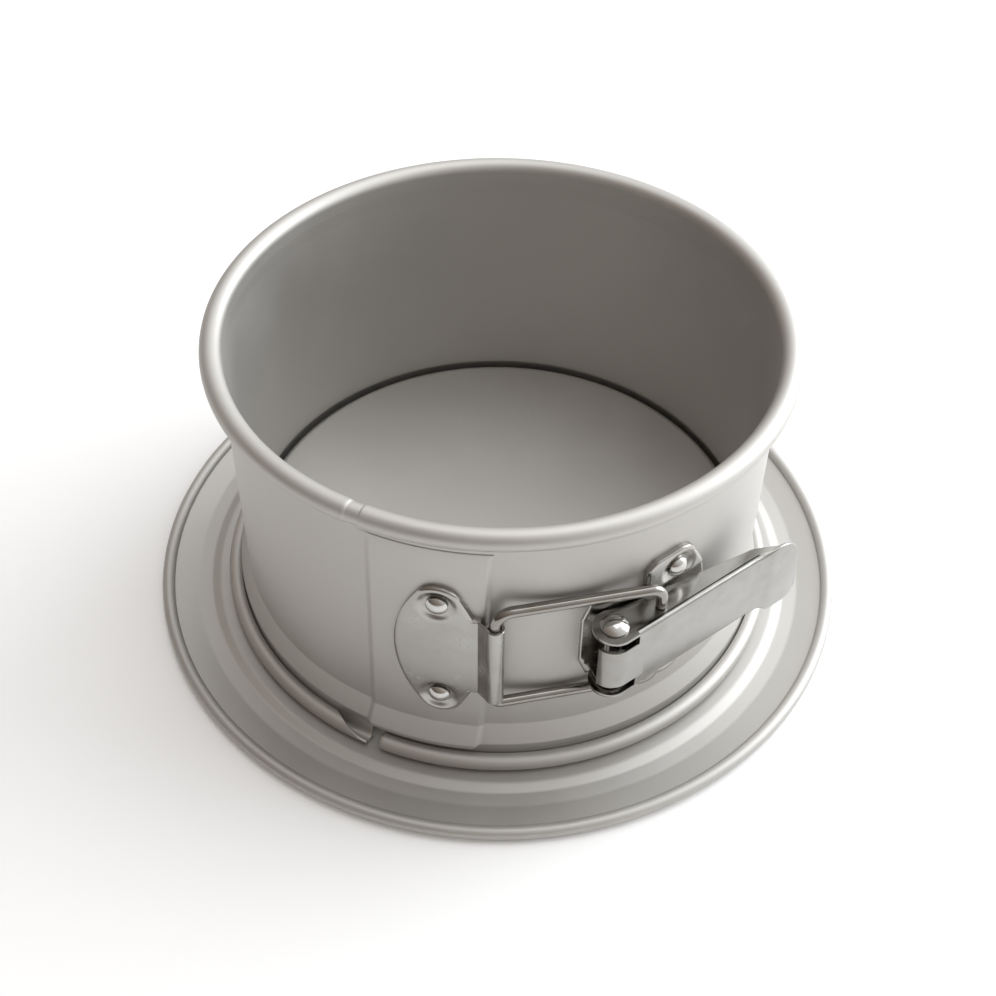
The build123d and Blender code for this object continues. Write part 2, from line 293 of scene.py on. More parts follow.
def steps(start, end, size):
    """Evenly spaced values from start to end, no further apart than size."""
    return np.linspace(start, end, max(2, int(np.ceil(abs(end - start) / size)) + 1))


def smooth(t):
    """Eases from 0 to 1."""
    t = np.clip(t, 0, 1)
    return t * t * (3 - 2 * t)


# ------------------------------------------------------------------ materials

def new_material(name):
    """A material with its nodes, links and shader."""
    material = bpy.data.materials.new(name)
    material.use_nodes = True
    nodes = material.node_tree.nodes
    return material, nodes, material.node_tree.links, nodes["Principled BSDF"]


def add_noise(nodes, links, source, scale, detail=4.0, roughness=0.55):
    noise = nodes.new("ShaderNodeTexNoise")
    noise.inputs["Scale"].default_value = scale
    noise.inputs["Detail"].default_value = detail
    noise.inputs["Roughness"].default_value = roughness
    links.new(source, noise.inputs["Vector"])
    return noise.outputs["Fac"]


def add_range(nodes, links, source, low, high, from_low=0.3, from_high=0.7):
    spread = nodes.new("ShaderNodeMapRange")
    spread.inputs["From Min"].default_value = from_low
    spread.inputs["From Max"].default_value = from_high
    spread.inputs["To Min"].default_value = low
    spread.inputs["To Max"].default_value = high
    links.new(source, spread.inputs["Value"])
    return spread.outputs["Result"]


def add_mix(nodes, links, factor, colour_a, colour_b):
    mix = nodes.new("ShaderNodeMix")
    mix.data_type = "RGBA"
    links.new(factor, mix.inputs[0])
    mix.inputs[6].default_value = (*colour_a, 1)
    mix.inputs[7].default_value = (*colour_b, 1)
    return mix.outputs[2]


def anodised_aluminium(name, tone, grain_scale, stretch):
    """Matt anodised sheet: soft tone drift, fine satin grain and faint marks of handling."""
    material, nodes, links, shader = new_material(name)
    place = nodes.new("ShaderNodeTexCoord").outputs["Object"]
    along = nodes.new("ShaderNodeMapping")
    along.inputs["Scale"].default_value = stretch
    links.new(place, along.inputs["Vector"])
    drift = add_noise(nodes, links, place, 28, 3.0)
    grain = add_noise(nodes, links, along.outputs["Vector"], grain_scale, 6.0, 0.7)
    speck = add_noise(nodes, links, place, 5200, 2.0)
    dark = tuple(0.94 * c for c in tone)
    blend = add_range(nodes, links, drift, 0, 1)
    links.new(add_mix(nodes, links, blend, dark, tone), shader.inputs["Base Color"])
    shader.inputs["Metallic"].default_value = 0.80
    links.new(add_range(nodes, links, drift, 0.50, 0.58), shader.inputs["Roughness"])
    total = nodes.new("ShaderNodeMath")
    total.operation = "MULTIPLY_ADD"
    total.inputs[1].default_value = 0.5
    links.new(speck, total.inputs[0])
    links.new(grain, total.inputs[2])
    bump = nodes.new("ShaderNodeBump")
    bump.inputs["Strength"].default_value = 0.10
    bump.inputs["Distance"].default_value = 0.00004
    links.new(total.outputs[0], bump.inputs["Height"])
    links.new(bump.outputs["Normal"], shader.inputs["Normal"])
    return material


def stainless(name, tone, low_rough, high_rough, brush, strength, ripple=0.00002):
    """Polished or satin stainless steel: smudges and ripples in the gloss and fine brushing along it."""
    material, nodes, links, shader = new_material(name)
    place = nodes.new("ShaderNodeTexCoord").outputs["Object"]
    along = nodes.new("ShaderNodeMapping")
    along.inputs["Scale"].default_value = brush
    links.new(place, along.inputs["Vector"])
    smudge = add_noise(nodes, links, place, 160, 5.0, 0.6)
    lines = add_noise(nodes, links, along.outputs["Vector"], 900, 4.0, 0.6)
    warm = (0.84 * tone[0], 0.82 * tone[1], 0.79 * tone[2])
    blend = add_range(nodes, links, smudge, 0, 1)
    links.new(add_mix(nodes, links, blend, warm, tone), shader.inputs["Base Color"])
    shader.inputs["Metallic"].default_value = 1.0
    links.new(add_range(nodes, links, smudge, low_rough, high_rough), shader.inputs["Roughness"])
    bump = nodes.new("ShaderNodeBump")
    bump.inputs["Strength"].default_value = strength
    bump.inputs["Distance"].default_value = 0.00003
    links.new(lines, bump.inputs["Height"])
    waves = nodes.new("ShaderNodeBump")
    waves.inputs["Strength"].default_value = 0.6
    waves.inputs["Distance"].default_value = ripple
    links.new(add_noise(nodes, links, place, 110, 1.0, 0.4), waves.inputs["Height"])
    links.new(waves.outputs["Normal"], bump.inputs["Normal"])
    links.new(bump.outputs["Normal"], shader.inputs["Normal"])
    return material


BASE_METAL = anodised_aluminium("base_aluminium", (0.50, 0.484, 0.462), 900, (1, 1, 1))
BAND_METAL = anodised_aluminium("band_aluminium", (0.545, 0.528, 0.505), 700, (1, 1, 0.25))
PLATE_METAL = stainless("plate_steel", (0.455, 0.445, 0.428), 0.15, 0.30, (1, 1, 0.2), 0.08, 0.00005)
LEVER_METAL = stainless("lever_steel", (0.385, 0.378, 0.367), 0.13, 0.26, (0.3, 0.3, 2), 0.06, 0.00003)
WIRE_METAL = stainless("wire_steel", (0.34, 0.326, 0.306), 0.10, 0.20, (1, 1, 1), 0.04)
RIVET_METAL = stainless("rivet_steel", (0.60, 0.593, 0.58), 0.10, 0.20, (1, 1, 1), 0.04)


# ------------------------------------------------------------------ base

def base_path():
    """Middle of the base sheet, from the axis to the end of the rolled edge."""
    roll = arc(ROLL_CENTRE, ROLL_LINE, 200, -100, 30)
    floor = FLOOR_Z - BASE_SHEET / 2
    corners = [
        (0.02, floor),
        (STEP_RADIUS, floor),
        (STEP_RADIUS, SEAT_Z),
        (SHOULDER_RADIUS, SEAT_Z),
        (DISH_RADIUS, DISH_Z),
        (ROLL_FOOT_RADIUS, DISH_Z),
        roll[0],
    ]
    flat = filleted(corners, [2.0, 1.0, 3.0, 3.0, 6.0], 8)
    return densified(flat[:-1] + roll, 3.0, 0.35)


def build_base():
    loop = sheet_loop(base_path(), BASE_SHEET / 2)
    loop[:, 0] = np.maximum(loop[:, 0], 0.01)
    shell = Shell()
    shell.grid([turned(loop, a) for a in steps(-90, 270, 1.0)], capped=False)
    shell.make("pan_base", "base", ["base"], BASE_METAL)


# ------------------------------------------------------------------ band

FULL_CURL = 490.0
CURL_OPENING = 150.0
BAND_STEP = 0.75
CUT_STEP = 0.3


def band_path(low_z=0.0, high_z=PAN_HEIGHT, low_end=FULL_CURL, low_scale=1.0, high_scale=1.0):
    """Middle of the band sheet between two heights, with each bead that they take in.

    low_end is the angle at which the low bead's curl ends. The scales shrink a bead about its
    own centre, as the sheet does where a bead is pinched at its end.
    """
    low = arc(LOW_BEAD, LOW_BEAD_LINE * low_scale, low_end, 180, 38)
    high = arc(HIGH_BEAD, HIGH_BEAD_LINE * high_scale, 180, -128, 40)
    wall = filleted(
        [
            (LOW_BEAD[0] - LOW_BEAD_LINE, LOW_BEAD[1]),
            GROOVE,
            FOLD,
            (WALL_LINE, LOW_CREASE_Z),
            (WALL_LINE, HIGH_CREASE_Z),
            (LEAN_LINE, HIGH_CREASE_Z + LEAN_RISE),
            (LEAN_LINE, HIGH_BEAD[1]),
        ],
        [0.8, 0.4, 2.0, 2.5, 3.0],
        7,
    )
    path = cut_path(densified(wall, 6.0, 0.4), low_z, high_z)
    if low_z < LOW_BEAD[1]:
        path = low[:-1] + path
    if high_z > HIGH_BEAD[1]:
        path = path + high[1:]
    return path


def cut_path(path, low_z, high_z):
    """The part of an upward path between two heights."""
    kept = []
    for a, b in zip(path, path[1:]):
        for level in (low_z, high_z):
            if a[1] < level < b[1]:
                t = (level - a[1]) / (b[1] - a[1])
                kept.append((a[0] + (b[0] - a[0]) * t, level))
        if low_z <= b[1] <= high_z:
            kept.append(b)
    if low_z <= path[0][1] <= high_z:
        kept.insert(0, path[0])
    return kept


def bead_rounding(distance, length):
    """Scale of a bead at a distance from its rounded end."""
    t = min(1.0, max(0.0, distance / length))
    return sqrt(max(0.0, 1 - (1 - t) ** 2))


def band_rows(azimuths, path_at):
    """The band's section at each azimuth, from a function that gives its middle there."""
    return [turned(sheet_loop(path_at(a), SHEET / 2), a) for a in azimuths]


def build_band_right():
    """The right half of the strip. Its low bead starts a little after its wall and high bead."""
    shell = Shell()
    start = LOW_BEAD_RIGHT_START

    def full(a):
        scale = bead_rounding((a - start) * LOW_BEAD_DEGREE, 1.9)
        return band_path(low_scale=max(scale, 0.12))

    def above_low_bead(a):
        pinch = 0.80 + 0.20 * bead_rounding((a - SEAM) * HIGH_BEAD_DEGREE, 0.9)
        return band_path(low_z=ENTRY_LOW_Z, high_scale=pinch)

    rounded = list(steps(start, start + 1.4, 0.14))
    plain = list(steps(start + 1.4, 90 - BACK_PIECE, BAND_STEP))[1:]
    shell.grid(band_rows(rounded + plain, full))
    rounded = list(steps(SEAM, SEAM + 0.8, 0.1))
    plain = list(steps(SEAM + 0.8, start, BAND_STEP))[1:]
    shell.grid(band_rows(rounded + plain, above_low_bead))
    shell.make("band_right_sheet", "band_right", ["band_right"], BAND_METAL)


def build_band_left():
    """The left half of the strip: its low bead's curl opens out, and its wall ends in the tab."""
    shell = Shell()

    def curl_end(a):
        t = (a - LOW_BEAD_CUT_START) / (LOW_BEAD_CUT_END - LOW_BEAD_CUT_START)
        return FULL_CURL - CURL_OPENING * np.clip(t, 0, 1) ** 0.9

    def plug_scale(a):
        return 1 - PLUG_TUCK * smooth((a - (SEAM - PLUG_ARC)) / 0.3)

    def full(a):
        return band_path(low_end=curl_end(a), high_scale=plug_scale(a))

    def low_bead_stub(a):
        return band_path(high_z=STUB_HIGH_Z, low_end=curl_end(a))

    def high_bead_stub(a):
        return band_path(low_z=TAB_HIGH_Z + 0.15, high_scale=plug_scale(a))

    plain = list(steps(BACK_PIECE - 270, LOW_BEAD_CUT_START, BAND_STEP))
    opened = list(steps(LOW_BEAD_CUT_START, JOGGLE_START, CUT_STEP))[1:]
    shell.grid(band_rows(plain + opened, full))
    shell.grid(band_rows(steps(JOGGLE_START, LOW_BEAD_CUT_END, CUT_STEP), low_bead_stub))
    shell.grid(band_rows(steps(JOGGLE_START, SEAM + 0.5, CUT_STEP / 2), high_bead_stub))
    shell.grid(tab_rows())
    shell.make("band_left_sheet", "band_left", ["band_left"], BAND_METAL)


def tab_edge(z):
    """Azimuth of the tab's free edge, which leans a little and is cut back at the bottom."""
    return np.interp(z, [TAB_LOW_Z, 11.0, 20.0, TAB_HIGH_Z], [-93.4, -92.5, -92.0, -90.8])


def tab_rows():
    """Sections of the tab, which steps out at the joggle and thins towards its edges."""
    tab = np.asarray(band_path(low_z=TAB_LOW_Z, high_z=TAB_HIGH_Z))
    loop = sheet_loop(tab, SHEET / 2)
    height = loop[:, 1]
    middle = np.interp(height, tab[:, 1], tab[:, 0])
    edge = tab_edge(height)
    lean = np.interp(height, [TAB_LOW_Z, TAB_HIGH_Z], [0.0, JOGGLE_LEAN])
    joggle_part = np.linspace(0, 0.15, 24)
    flat_part = np.linspace(0.15, 0.94, 22)[1:]
    edge_part = np.linspace(0.94, 1, 9)[1:]
    rows = []
    for t in np.concatenate([joggle_part, flat_part, edge_part]):
        azimuth = JOGGLE_START + (edge - JOGGLE_START) * t
        joggle = smooth((azimuth - JOGGLE_START - lean) / (JOGGLE_END - JOGGLE_START))
        to_edge = np.minimum((edge - azimuth) * TAB_DEGREE, TAB_HIGH_Z - height)
        swage = joggle * (1 - smooth(to_edge / TAB_SWAGE))
        radius = middle + (loop[:, 0] - middle) * (1 - SWAGE_THINNING * swage)
        radius = radius + TAB_SHIFT * joggle - SWAGE_DEPTH * swage
        turn = np.radians(azimuth)
        rows.append(np.stack([radius * np.cos(turn), radius * np.sin(turn), height], 1))
    return rows


def build_band_back():
    """The back of the strip, which stays in place and rides on neither half."""
    shell = Shell()
    shell.grid(band_rows(steps(90 - BACK_PIECE, 90 + BACK_PIECE, BAND_STEP), lambda a: band_path()))
    piece = shell.make(
        "band_back_sheet", None, ["band_right", "band_left"], BAND_METAL)
    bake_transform(piece)


# ------------------------------------------------------------------ pressed plates

DIMPLE_FLAT = 3.3
DIMPLE_RIM = 2.5
LOBE_START = 12.3
LOBE_RAMP = 1.6
BARREL_RADIUS = 2.5
BARREL_INSET = 0.475
BARREL_HALF_SHEET = 0.43


def on_wall(u, v, radius, azimuth):
    """A point u along the tangent and v up from the latch's centre, at a radius."""
    turn = radians(azimuth) + np.arcsin(u / radius)
    return np.stack([radius * np.cos(turn), radius * np.sin(turn), LATCH_Z + v], -1)


def plate(shell, left, right, heights, surface, seat, azimuth, drop=0.0, columns=56):
    """A pressed plate: left and right give its edges at a height, surface its outer radius."""
    spread = (1 - np.cos(np.linspace(0, pi, columns))) / 2
    outer = []
    for v in heights:
        u = left(v) + (right(v) - left(v)) * spread
        outer.append((u, np.full(columns, v)))
    top = [on_wall(u, v - drop, surface(u, v), azimuth) for u, v in outer]
    foot = [on_wall(u, v - drop, np.full(columns, seat), azimuth) for u, v in outer]
    shell.grid([np.concatenate([a, b[::-1]]) for a, b in zip(top, foot)])


def edge_drop(distance, radius):
    """How far a rounded edge falls below the crown at a distance from the outline."""
    t = np.clip(distance / radius, 0, 1)
    return radius * (1 - np.sqrt(np.maximum(0, 1 - (1 - t) ** 2)))


def dimple_drop(u, v, depth):
    """Depth of the round pressing about each rivet, with a softly rolled rim."""
    near = np.minimum(np.hypot(u, v - RIVET_OFFSET), np.hypot(u, v + RIVET_OFFSET))
    return depth * (1 - smooth((near - DIMPLE_FLAT) / DIMPLE_RIM))


def distance_to(outline, u, v):
    """Distance from points to an open outline made of straight pieces."""
    best = np.full(np.shape(u), 1e9)
    for a, b in zip(outline, outline[1:]):
        a = np.array(a, float)
        b = np.array(b, float)
        run = b - a
        t = np.clip(((u - a[0]) * run[0] + (v - a[1]) * run[1]) / (run @ run), 0, 1)
        best = np.minimum(best, np.hypot(u - a[0] - t * run[0], v - a[1] - t * run[1]))
    return best


def arc_through(a, b, c, count):
    """Points of the arc from a through b to c."""
    (ax, ay), (bx, by), (cx, cy) = a, b, c
    d = 2 * (ax * (by - cy) + bx * (cy - ay) + cx * (ay - by))
    x = ((ax**2 + ay**2) * (by - cy) + (bx**2 + by**2) * (cy - ay) + (cx**2 + cy**2) * (ay - by)) / d
    y = ((ax**2 + ay**2) * (cx - bx) + (bx**2 + by**2) * (ax - cx) + (cx**2 + cy**2) * (bx - ax)) / d
    radius = hypot(ax - x, ay - y)
    start, middle, end = (degrees(atan2(p[1] - y, p[0] - x)) for p in (a, b, c))
    turn = (end - start) % 360
    if (middle - start) % 360 > turn:
        turn -= 360
    return arc((x, y), radius, start, start + turn, count)


def half_outline(lobe_v, shoulder_v, round_v):
    """Upper half of a plate's rounded side, from the waist to the end of the lobe's curve."""
    waist = arc_through((-5.5, -shoulder_v), (-12.0, 0), (-5.5, shoulder_v), 41)[20:]
    lobe = arc_through((-5.5, shoulder_v), (0.8, lobe_v), (6.3, round_v), 25)
    return waist, lobe


def keeper_edges():
    """Left and right edges of the keeper against height, for its upper half."""
    waist, lobe = half_outline(KEEPER_HALF, 21.2, 20.5)
    peak = max(range(len(lobe)), key=lambda i: lobe[i][1])
    left = waist + lobe[1:peak + 1]
    right = [(11.1, 0), (11.1, NECK_HALF), (9.4, NECK_HALF)] + lobe[peak:][::-1]
    return left, right


def across(edge):
    """The edge's u as a function of the height's size."""
    heights = [p[1] for p in edge]
    places = [p[0] for p in edge]
    return lambda v: float(np.interp(abs(v), heights, places))


def mirrored(edge):
    """Both halves of an edge, from its upper half."""
    return [(u, -v) for u, v in edge[::-1]] + list(edge[1:])


def plate_heights(top):
    """Row heights, closer together towards the two ends."""
    t = np.linspace(-1, 1, 150)
    return top * np.sin(t * pi / 2 * 0.995)


def rolled_barrel(shell):
    """The keeper's sheet climbs from the neck and rolls round the bail's leg."""
    line = BARREL_RADIUS - BARREL_INSET
    lean = radians(KEEPER_AZIMUTH)
    start = np.array([cos(lean), sin(lean)]) * (KEEPER_CROWN - 0.42)
    tangent = np.array([-sin(lean), cos(lean)])
    neck = [tuple(start * cos(u / KEEPER_CROWN) + tangent * u) for u in (8.5, 9.6, 10.6)]
    roll = arc(HINGE, line, 205, 205 + 328, 46)
    path = densified(filleted(neck + [roll[0]], [2.0, 0.5], 5)[:-1] + roll, 1.0, 0.2)
    soft = 0.12
    rows = []
    for z, inset in (
        (BARREL_LOW, soft),
        (BARREL_LOW + soft, 0.0),
        (BARREL_HIGH - soft, 0.0),
        (BARREL_HIGH, soft),
    ):
        loop = sheet_loop(path, BARREL_HALF_SHEET - inset)
        rows.append(np.concatenate([loop, np.full((len(loop), 1), LATCH_Z + z)], 1))
    shell.grid(rows)


def build_keeper():
    shell = Shell()
    left, right = keeper_edges()
    outline = mirrored(left)
    lobes = [p for p in right if p[1] >= NECK_HALF]
    rims = [outline, lobes, [(u, -v) for u, v in lobes]]
    rise = KEEPER_CROWN - KEEPER_SEAT

    def surface(u, v):
        gap = np.minimum.reduce([distance_to(r, u, v) for r in rims])
        return KEEPER_CROWN - 0.75 * edge_drop(gap, 1.25) - dimple_drop(u, v, 0.6 * rise)

    heights = plate_heights(KEEPER_HALF)
    plate(shell, across(left), across(right), heights, surface, KEEPER_SEAT, KEEPER_AZIMUTH, KEEPER_DROP)
    rolled_barrel(shell)
    shell.make("keeper_plate", "band_left", ["keeper"], PLATE_METAL)


def build_bracket():
    shell = Shell()
    waist, _ = half_outline(KEEPER_HALF, 21.2, 20.5)
    shoulder = arc_through((5.5, 21.2), (3.6, 24.0), (0, BRACKET_HALF), 12)
    round_side = [(-u, v) for u, v in waist] + shoulder[1:]
    corner = [(-10, 18.0), (-10, 21.2), (-7.2, 23.9), (0, BRACKET_HALF)]
    flat_side = [(-10, 0), (-10, 18.0)] + filleted(corner, [3.0, 2.5], 7)[1:]
    whole_flat_side = mirrored(flat_side)
    upper = [p for p in whole_flat_side if p[1] >= 0]
    lower = [p for p in whole_flat_side if p[1] <= 0]
    rims = [mirrored(round_side), upper, lower]

    def surface(u, v):
        gap = np.minimum.reduce([distance_to(r, u, v) for r in rims])
        lobe = smooth((np.abs(v - BRACKET_DROP) - LOBE_START) / LOBE_RAMP)
        rounding = 0.7 * edge_drop(gap, 0.9) * (0.3 + 0.7 * lobe)
        rise = (BRACKET_CROWN - BRACKET_NECK - dimple_drop(u, v, 0.85)) * lobe
        return BRACKET_NECK + rise - rounding

    plate(
        shell, across(flat_side), across(round_side), plate_heights(BRACKET_HALF),
        surface, BRACKET_SEAT, BRACKET_AZIMUTH, BRACKET_DROP,
    )

    def neck_left(v):
        return -26.3 + max(0.0, abs(v) - 8.2) * 0.35

    def neck_surface(u, v):
        gap = np.minimum(BRACKET_NECK_HALF - np.abs(v), u - neck_left(v[0]))
        return BRACKET_NECK - 0.01 - 0.5 * edge_drop(gap, 0.4)

    heights = np.linspace(-BRACKET_NECK_HALF, BRACKET_NECK_HALF, 57)
    plate(shell, neck_left, lambda v: -8.0, heights, neck_surface, BRACKET_SEAT, BRACKET_AZIMUTH)
    for low in (-EAR_HALF, EAR_HALF - EAR_SHEET):
        ear(shell, low, low + EAR_SHEET)
    shell.make("pivot_bracket", "band_right", ["bracket"], PLATE_METAL)


def ear(shell, low, high):
    """An ear in a level plane: round about the pivot, widening a little into the plate."""
    radius = EAR_RADIUS
    lean = atan2(PIVOT[1], PIVOT[0])
    out = np.array([cos(lean), sin(lean)])
    side = np.array([-sin(lean), cos(lean)])
    reach = hypot(*PIVOT) - BRACKET_NECK + 0.3
    half = [(radius * cos(radians(a)), radius * sin(radians(a))) for a in np.linspace(-90, 90, 25)]
    flat = [(-reach, -radius - 0.9), (-reach + 1.0, -radius - 0.15)]
    outline = flat + half + [(-reach + 1.0, radius + 0.15), (-reach, radius + 0.9)]
    points = np.array([np.array(PIVOT) + out * x + side * y for x, y in outline])
    slab(shell, points, low, high)


def slab(shell, outline, low, high, soft=0.12):
    """A level slab between two heights about the latch's centre, with softened edges."""
    outline = np.asarray(outline, float)
    centre = outline.mean(0)
    rows = []
    for z, inset in ((low, soft), (low + soft, 0), (high - soft, 0), (high, soft)):
        inward = (centre - outline) / np.linalg.norm(centre - outline, axis=1, keepdims=True)
        pulled = outline + inward * inset
        rows.append(np.concatenate([pulled, np.full((len(outline), 1), LATCH_Z + z)], 1))
    shell.grid(rows)


# ------------------------------------------------------------------ rivets

def spun(shell, profile, origin, axis, count=48):
    """Turns a profile of (distance from the axis, distance along it) about an axis."""
    axis = Vector(axis).normalized()
    side = axis.orthogonal().normalized()
    other = axis.cross(side)
    rows = []
    for t in np.linspace(0, 2 * pi, count, endpoint=False):
        direction = np.array(side) * cos(t) + np.array(other) * sin(t)
        rows.append([np.array(origin) + np.array(axis) * y + direction * x for x, y in profile])
    rows.append(rows[0])
    shell.grid(rows, capped=False)


def dome(radius, rim, top, count=12):
    """Profile of a domed head from its rim to the axis."""
    height = top - rim
    ball = (radius**2 + height**2) / (2 * height)
    limit = asin(radius / ball)
    return [(max(0.003, ball * sin(a)), top - ball + ball * cos(a)) for a in np.linspace(limit, 0, count)]


HEAD_HEIGHT = 1.98


def button(tail, under, crown, shank=1.5, head=2.9):
    """Profile of a button-head rivet, from its tail up to its crown."""
    stem = [(0.003, tail), (shank, tail), (shank, under), (head - 0.2, under), (head, under + 0.25)]
    return stem + dome(head, under + 0.55, crown)


def inner_head():
    """Profile of the low head that a bracket rivet shows inside the pan."""
    seat = WALL_RADIUS - 0.07
    crown = seat - 0.5
    return [
        (0.003, seat),
        (2.4, seat),
        (2.6, seat - 0.13),
        (2.45, seat - 0.33),
        (1.9, crown + 0.05),
        (0.9, crown + 0.01),
        (0.003, crown),
    ]


def build_rivets():
    keeper = Shell()
    bracket = Shell()
    for side in (-1, 1):
        height = LATCH_Z + side * RIVET_OFFSET
        for shell, azimuth, tail, under, drop in (
            (keeper, KEEPER_AZIMUTH, KEEPER_RIVET_TAIL, KEEPER_SEAT + 0.78, KEEPER_DROP),
            (bracket, BRACKET_AZIMUTH, BRACKET_RIVET_TAIL, BRACKET_SEAT + 0.84, BRACKET_DROP),
        ):
            out = (cos(radians(azimuth)), sin(radians(azimuth)), 0)
            spun(shell, button(tail, under, under + HEAD_HEIGHT), (0, 0, height - drop), out)
        place = (0, 0, height - BRACKET_DROP)
        out = (cos(radians(BRACKET_AZIMUTH)), sin(radians(BRACKET_AZIMUTH)), 0)
        spun(bracket, inner_head(), place, out)
    keeper.make("keeper_rivet_pair", "band_left", ["keeper_rivets"], RIVET_METAL)
    bracket.make("bracket_rivet_pair", "band_right", ["bracket_rivets"], RIVET_METAL)

    pin = Shell()
    face = LEVER_HALF + 0.1
    top = dome(PIN_HEAD, face + 0.45, face + 2.3, 16)
    rim = [(PIN_SHANK, face), (PIN_HEAD - 0.15, face), (PIN_HEAD, face + 0.2)] + top
    profile = [(r, -h) for r, h in rim[::-1]] + rim
    spun(pin, profile, (*PIVOT, LATCH_Z), (0, 0, 1), 64)
    pin.make("pivot_rivet_turned", "band_right", ["pivot_rivet"], RIVET_METAL)


# ------------------------------------------------------------------ bail

def build_bail():
    reach = hypot(BAIL_END[0] - HINGE[0], BAIL_END[1] - HINGE[1])
    lean = atan2(BAIL_END[1] - HINGE[1], BAIL_END[0] - HINGE[0])
    tip = LEVER_HALF + 0.3
    corners = [
        (reach, tip),
        (reach, BAIL_HALF),
        (0, BAIL_HALF),
        (0, -BAIL_HALF),
        (reach, -BAIL_HALF),
        (reach, -tip),
    ]
    path = densified(filleted(corners, [3.5, 4.5, 2.0, 3.5], 12), 3.0, 0.3)
    side = normals_of(path)
    out = np.array([cos(lean), sin(lean), 0])
    level = np.array([sin(lean), -cos(lean), 0])
    up = np.array([0, 0, 1.0])
    origin = np.array([*HINGE, LATCH_Z])
    turns = np.linspace(0, 2 * pi, 28, endpoint=False)
    rows = []
    count = len(path)
    for i, ((x, z), n) in enumerate(zip(path, side)):
        from_end = min(i, count - 1 - i)
        radius = WIRE * (0.9 if from_end == 0 else 1.0)
        centre = origin + out * x + up * z
        normal = out * n[0] + up * n[1]
        rows.append([centre + radius * (normal * cos(t) + level * sin(t)) for t in turns])
    shell = Shell()
    shell.grid(rows)
    shell.make("bail_wire", "bail", ["bail"], WIRE_METAL)


# ------------------------------------------------------------------ lever

LEVER_SHEET = 1.0
LEVER_OUT = np.array([cos(radians(LEVER_ANGLE)), sin(radians(LEVER_ANGLE))])
LEVER_FACE = np.array([LEVER_OUT[1], -LEVER_OUT[0]])
NOTCH = 3.6
TONGUE_HALF = 7.0
PADDLE_START = 44.0
PADDLE_END = 51.0
PADDLE_RISE = 0.4
FLAT_FROM = 46.5
FLAT_TO = 52.0
HIGH_CORNER = 9.0
LOW_CORNER = 4.5
TIP_SLANT = 0.036
FLANGE_SLOPE = 0.1368
FLANGE_BACK = -2.46 - 16 * FLANGE_SLOPE
FLANGE_BACK_CUT = 4.034
FLANGE_RUN_OUT = 45.9
FLANGE_END = 53.6
FLANGE_EDGE = 0.14


def lever_point(x, y, z):
    """A point of the lever: x to its tip, y away from the pan, z up from its middle."""
    place = np.array(PIVOT) + LEVER_OUT * x + LEVER_FACE * y
    return np.array([place[0], place[1], LATCH_Z + z])


def web_line():
    """Middle of the web from the notch to the tip."""
    line = LEVER_ROUND - LEVER_SHEET / 2
    raised = line + PADDLE_RISE
    corners = [(NOTCH, line), (PADDLE_START, line), (PADDLE_END, raised), (LEVER_LENGTH, raised)]
    return densified(filleted(corners, [6.0, 6.0], 9), 1.0, 0.3)


def channel_section():
    """Section of the web with its two folds, as (height, offset from the middle)."""
    outer_radius = LEVER_FOLD
    inner_radius = LEVER_FOLD - LEVER_SHEET
    centre = (LEVER_HALF - outer_radius, LEVER_SHEET / 2 - outer_radius)
    outer = arc(centre, outer_radius, 0, 90, 7)
    inner = arc(centre, inner_radius, 90, 0, 7)
    right = [(LEVER_HALF, centre[1] - 0.3)] + outer
    back = inner + [(LEVER_HALF - LEVER_SHEET, centre[1] - 0.3)]
    mirrored_right = [(-z, y) for z, y in right[::-1]]
    mirrored_back = [(-z, y) for z, y in back[::-1]]
    return np.array(right + mirrored_right + mirrored_back + back)


def flat_section(high, low):
    """Section of the paddle with soft edges, matched point for point to the channel's."""
    def edge(width):
        outer = [(width, 0.0)] + arc((width - 0.4, 0.1), 0.4, 0, 90, 7)
        inner = [(z, -y) for z, y in arc((width - 0.4, 0.1), 0.4, 90, 0, 7)] + [(width, -0.02)]
        return outer, inner
    outer_high, inner_high = edge(high)
    outer_low, inner_low = edge(low)
    low_outer = [(-z, y) for z, y in outer_low[::-1]]
    low_inner = [(-z, y) for z, y in inner_low[::-1]]
    return np.array(outer_high + low_outer + low_inner + inner_high)


def paddle_width(x, full, corner, end):
    """Height of the paddle on one side of its middle, with a rounded corner at its tip."""
    width = LEVER_HALF + (full - LEVER_HALF) * smooth((x - FLAT_FROM) / 6.5)
    into = x - (end - corner)
    if into > 0:
        width -= corner - sqrt(max(0.0, corner**2 - into**2))
    return width


def flange_back(x):
    """Back edge of a flange, which stays clear of the band."""
    straight = FLANGE_BACK + FLANGE_SLOPE * min(x, FLANGE_RUN_OUT)
    if x <= FLANGE_RUN_OUT:
        return straight
    t = (x - FLANGE_RUN_OUT) / (FLANGE_END - FLANGE_RUN_OUT)
    return straight + (LEVER_ROUND + PADDLE_RISE - 0.9 - straight) * t**1.15


